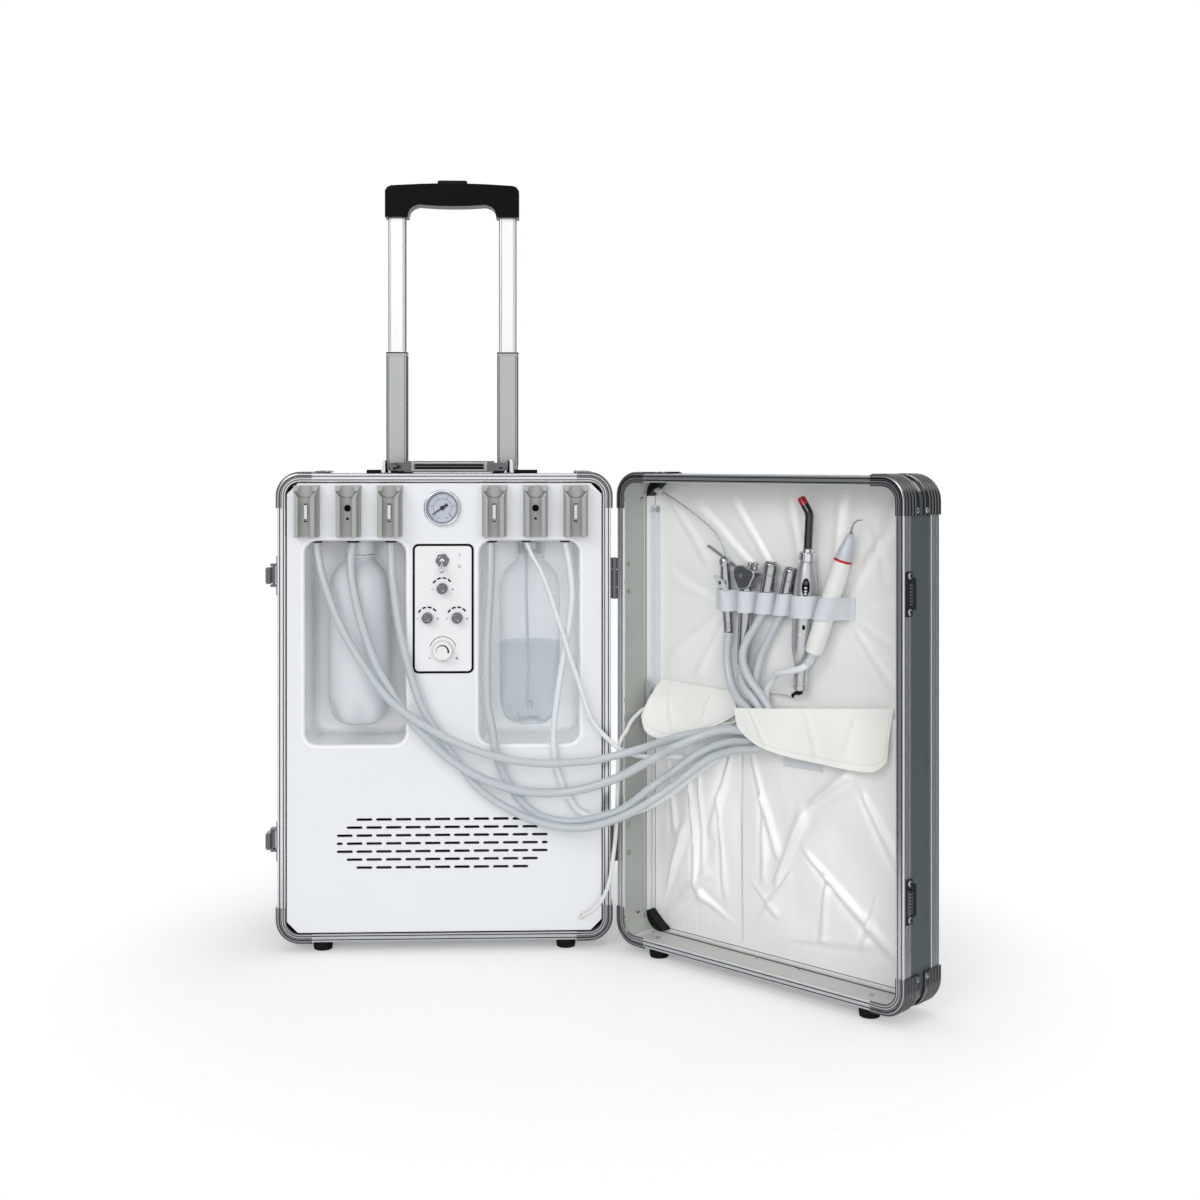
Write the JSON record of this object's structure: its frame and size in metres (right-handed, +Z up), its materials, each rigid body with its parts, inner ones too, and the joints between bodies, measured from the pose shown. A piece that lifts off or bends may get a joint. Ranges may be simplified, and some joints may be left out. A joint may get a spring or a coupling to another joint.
{
  "type": "portable dental unit",
  "caption": "Trolley case opened on its side hinges: a white panel with handpiece holders, gauge, bottles and controls, and a lined lid with strapped instruments and hoses.",
  "frame": {"origin": "centre of the open unit's box at floor level", "axes": "+Z up, +X to the right seen from the front, +Y away from the viewer; the case's panel faces -Y and the lid stands open to the right at 135 degrees from shut"},
  "size_m": [0.7238, 0.4736, 0.9135],
  "materials": {
    "case_skin": "finely grained sheet on the case and lid walls",
    "edge_profile": "satin extruded edge profiles with ridged corner caps",
    "panel_white": "smooth glossy white",
    "plate_white": "printed overlay with a black outline and scale arcs",
    "holder_grey": "moulded, slightly rough",
    "lever_chrome": "polished",
    "gauge_steel": "polished bezel",
    "dial_white": "printed dial with plain scale marks",
    "needle_black": "matt black",
    "fitting_steel": "bright plated",
    "toggle_steel": "bright plated",
    "knob_grey": "turned, fine ribs round the grip",
    "knob_white": "moulded, ribbed grip",
    "cap_clear": "clear moulded",
    "bottle_milky": "milky translucent",
    "bottle_clear": "clear, part filled with water",
    "machine_grey": "painted castings",
    "port_black": "moulded",
    "foot_rubber": "moulded rubber",
    "wheel_rubber": "hard rubber tread",
    "hardware_steel": "plated pressings",
    "latch_steel": "plated",
    "handle_black": "moulded, slightly rough",
    "guide_black": "moulded",
    "tube_grey": "brushed lengthwise",
    "tube_bright": "bright anodised",
    "grip_black": "moulded, slightly rough",
    "button_grey": "ribbed",
    "satin": "off-white woven satin with drawn folds",
    "strap_web": "light grey-blue webbing with stitched edges",
    "tool_satin": "satin metal",
    "lever_grey": "moulded",
    "tip_clear": "clear soft plastic",
    "connector_alu": "turned",
    "light_silver": "silver lacquer",
    "guide_dark": "black coated rod with a red tip",
    "tool_white": "white body with a red ring",
    "hose_grey": "smooth silicone",
    "cord_white": "smooth"
  },
  "bodies": {
    "case": {"case_shell": "case_skin", "case_frames": "edge_profile", "front_panel": "panel_white", "handpiece_holders": "holder_grey", "gauge_case": "gauge_steel", "gauge_dial": "dial_white", "control_plate": "plate_white", "control_fittings": "fitting_steel", "bottle_caps": "cap_clear", "air_supply": "machine_grey", "side_ports": "port_black", "case_feet": "foot_rubber", "case_hardware": "hardware_steel", "trolley_guides": "guide_black", "hose_1": "hose_grey", "hose_2": "hose_grey", "hose_3": "hose_grey", "hose_4": "hose_grey", "hose_5": "hose_grey", "hose_6": "hose_grey", "light_cord": "cord_white"},
    "lid": {"lid_shell": "case_skin", "lid_frames": "edge_profile", "lid_feet": "foot_rubber", "lid_hardware": "hardware_steel", "lid_lining": "satin", "lid_pockets": "satin", "pocket_flaps": "satin", "loop_strap": "strap_web", "suction_handle": "tool_satin", "saliva_tip": "tip_clear", "syringe_body": "tool_satin", "hose_connectors": "connector_alu", "curing_light": "light_silver", "scaler_handpiece": "tool_white"},
    "trolley_top": {"trolley_top": "tube_bright", "trolley_grip": "grip_black"},
    "needle": {"gauge_needle": "needle_black"},
    "toggle": {"toggle_lever": "toggle_steel"},
    "lever_1": {"lever_1": "lever_chrome"},
    "lever_3": {"lever_3": "lever_chrome"},
    "lever_4": {"lever_4": "lever_chrome"},
    "lever_6": {"lever_6": "lever_chrome"},
    "water_knob": {"water_knob": "knob_grey"},
    "air_knob_left": {"air_knob_left": "knob_grey"},
    "air_knob_right": {"air_knob_right": "knob_grey"},
    "scaler_knob": {"scaler_knob": "knob_white"},
    "waste_bottle": {"waste_bottle": "bottle_milky"},
    "water_bottle": {"water_bottle": "bottle_clear"},
    "wheel_left": {"wheel_left": "wheel_rubber"},
    "wheel_right": {"wheel_right": "wheel_rubber"},
    "latch_lever_upper": {"latch_lever_upper": "latch_steel"},
    "latch_lever_lower": {"latch_lever_lower": "latch_steel"},
    "carry_handle": {"carry_handle": "handle_black"},
    "trolley_middle": {"trolley_middle": "tube_grey"},
    "trolley_button": {"trolley_button": "button_grey"},
    "suction_lever": {"suction_lever": "lever_grey"},
    "syringe_air_button": {"syringe_air_button": "fitting_steel"},
    "syringe_water_button": {"syringe_water_button": "fitting_steel"},
    "light_guide": {"light_guide": "guide_dark"}
  },
  "joints": [
    {"name": "lid_swing", "type": "hinge", "parent": "case", "child": "lid", "pos_m": [0.0406, 0.034, 0.27675], "axis": [0, 0, 1], "range_deg": [-135, 45], "deforming": ["hose_1", "hose_2", "hose_3", "hose_4", "hose_5", "hose_6", "light_cord"]},
    {"name": "trolley_middle_slide", "type": "slide", "parent": "case", "child": "trolley_middle", "axis": [0, 0, 1], "range_m": [-0.147, 0]},
    {"name": "trolley_top_slide", "type": "slide", "parent": "trolley_middle", "child": "trolley_top", "axis": [0, 0, 1], "range_m": [-0.166, 0]},
    {"name": "trolley_button_press", "type": "slide", "parent": "trolley_top", "child": "trolley_button", "axis": [0, 0, -1], "range_m": [0, 0.004], "stiffness_N_per_m": 900},
    {"name": "carry_handle_fold", "type": "hinge", "parent": "case", "child": "carry_handle", "pos_m": [-0.155, 0.098, 0.556], "axis": [1, 0, 0], "range_deg": [0, 90]},
    {"name": "latch_upper_turn", "type": "hinge", "parent": "case", "child": "latch_lever_upper", "pos_m": [-0.3526, 0.049, 0.4314], "axis": [0, 0, 1], "range_deg": [-95, 0]},
    {"name": "latch_lower_turn", "type": "hinge", "parent": "case", "child": "latch_lever_lower", "pos_m": [-0.3526, 0.049, 0.126], "axis": [0, 0, 1], "range_deg": [-95, 0]},
    {"name": "lever_1_tilt", "type": "hinge", "parent": "case", "child": "lever_1", "pos_m": [-0.3118, 0.031, 0.4955], "axis": [1, 0, 0], "range_deg": [-10, 0], "stiffness_Nm_per_rad": 0.05},
    {"name": "lever_3_tilt", "type": "hinge", "parent": "case", "child": "lever_3", "pos_m": [-0.2172, 0.031, 0.4955], "axis": [1, 0, 0], "range_deg": [-10, 0], "stiffness_Nm_per_rad": 0.05},
    {"name": "lever_4_tilt", "type": "hinge", "parent": "case", "child": "lever_4", "pos_m": [-0.0972, 0.031, 0.4955], "axis": [1, 0, 0], "range_deg": [-10, 0], "stiffness_Nm_per_rad": 0.05},
    {"name": "lever_6_tilt", "type": "hinge", "parent": "case", "child": "lever_6", "pos_m": [-0.0036, 0.031, 0.4955], "axis": [1, 0, 0], "range_deg": [-10, 0], "stiffness_Nm_per_rad": 0.05},
    {"name": "needle_turn", "type": "hinge", "parent": "case", "child": "needle", "pos_m": [-0.1576, 0.034, 0.5092], "axis": [0, 1, 0], "range_deg": [0, 250], "stiffness_Nm_per_rad": 0.0002},
    {"name": "toggle_flip", "type": "hinge", "parent": "case", "child": "toggle", "pos_m": [-0.1576, 0.0335, 0.4487], "axis": [1, 0, 0], "range_deg": [-68, 0]},
    {"name": "water_knob_turn", "type": "hinge", "parent": "case", "child": "water_knob", "pos_m": [-0.1576, 0.034, 0.4167], "axis": [0, 1, 0], "range_deg": [-135, 135]},
    {"name": "air_knob_left_turn", "type": "hinge", "parent": "case", "child": "air_knob_left", "pos_m": [-0.1746, 0.034, 0.3829], "axis": [0, 1, 0], "range_deg": [-135, 135]},
    {"name": "air_knob_right_turn", "type": "hinge", "parent": "case", "child": "air_knob_right", "pos_m": [-0.1406, 0.034, 0.3829], "axis": [0, 1, 0], "range_deg": [-135, 135]},
    {"name": "scaler_knob_turn", "type": "hinge", "parent": "case", "child": "scaler_knob", "pos_m": [-0.157, 0.034, 0.3454], "axis": [0, 1, 0], "range_deg": [-135, 135]},
    {"name": "waste_bottle_unscrew", "type": "hinge", "parent": "case", "child": "waste_bottle", "pos_m": [-0.2577, 0.079, 0.46], "axis": [0, 0, 1], "range_deg": [-540, 0]},
    {"name": "water_bottle_unscrew", "type": "hinge", "parent": "case", "child": "water_bottle", "pos_m": [-0.0575, 0.079, 0.46], "axis": [0, 0, 1], "range_deg": [-540, 0]},
    {"name": "wheel_left_spin", "type": "hinge", "parent": "case", "child": "wheel_left", "pos_m": [-0.283, 0.21, 0.028], "axis": [1, 0, 0], "continuous": true},
    {"name": "wheel_right_spin", "type": "hinge", "parent": "case", "child": "wheel_right", "pos_m": [-0.027, 0.21, 0.028], "axis": [1, 0, 0], "continuous": true},
    {"name": "suction_lever_turn", "type": "hinge", "parent": "lid", "child": "suction_lever", "pos_m": [0.158, -0.0268, 0.427], "axis": [0.7071, 0.7071, 0], "range_deg": [0, 80]},
    {"name": "syringe_air_button_press", "type": "slide", "parent": "lid", "child": "syringe_air_button", "axis": [-0.1711, 0.1711, -0.9703], "range_m": [0, 0.002], "stiffness_N_per_m": 400},
    {"name": "syringe_water_button_press", "type": "slide", "parent": "lid", "child": "syringe_water_button", "axis": [-0.1711, 0.1711, -0.9703], "range_m": [0, 0.002], "stiffness_N_per_m": 400},
    {"name": "light_guide_turn", "type": "hinge", "parent": "lid", "child": "light_guide", "pos_m": [0.2354, -0.0943, 0.3162], "axis": [0.0438, -0.0579, 0.9974], "range_deg": [-35, 180]}
  ]
}
